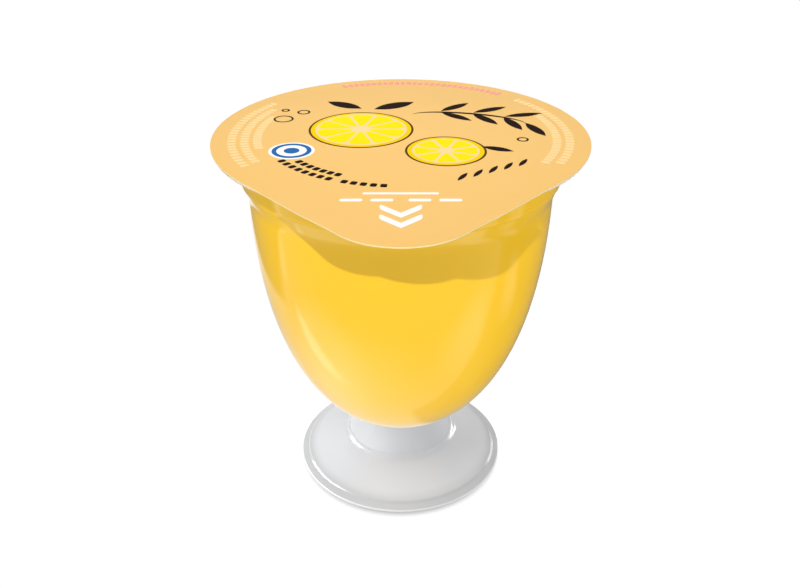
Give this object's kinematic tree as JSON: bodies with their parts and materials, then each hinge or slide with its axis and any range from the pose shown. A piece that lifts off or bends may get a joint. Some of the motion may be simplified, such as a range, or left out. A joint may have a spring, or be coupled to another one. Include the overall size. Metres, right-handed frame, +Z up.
{
  "type": "sealed jelly cup",
  "caption": "Sealed single-serve dessert cup on a moulded foot: a clear round-bottomed cup full of yellow jelly, closed by a printed sealing film with a pull tab.",
  "frame": {"origin": "on the surface the foot stands on, at the cup's axis", "axes": "+Z up along the cup's axis, -Y towards the pull tab"},
  "size_m": [0.075, 0.0875, 0.0792],
  "materials": {
    "clear_cup": "clear, glossy moulded plastic",
    "frosted_foot": "milky translucent moulded plastic with a soft gloss",
    "jelly": "wet translucent yellow jelly",
    "printed_film": "satin printed sealing film"
  },
  "bodies": {
    "root": {"cup": "clear_cup", "foot": "frosted_foot", "jelly": "jelly", "sealing_film": "printed_film"}
  },
  "joints": []
}
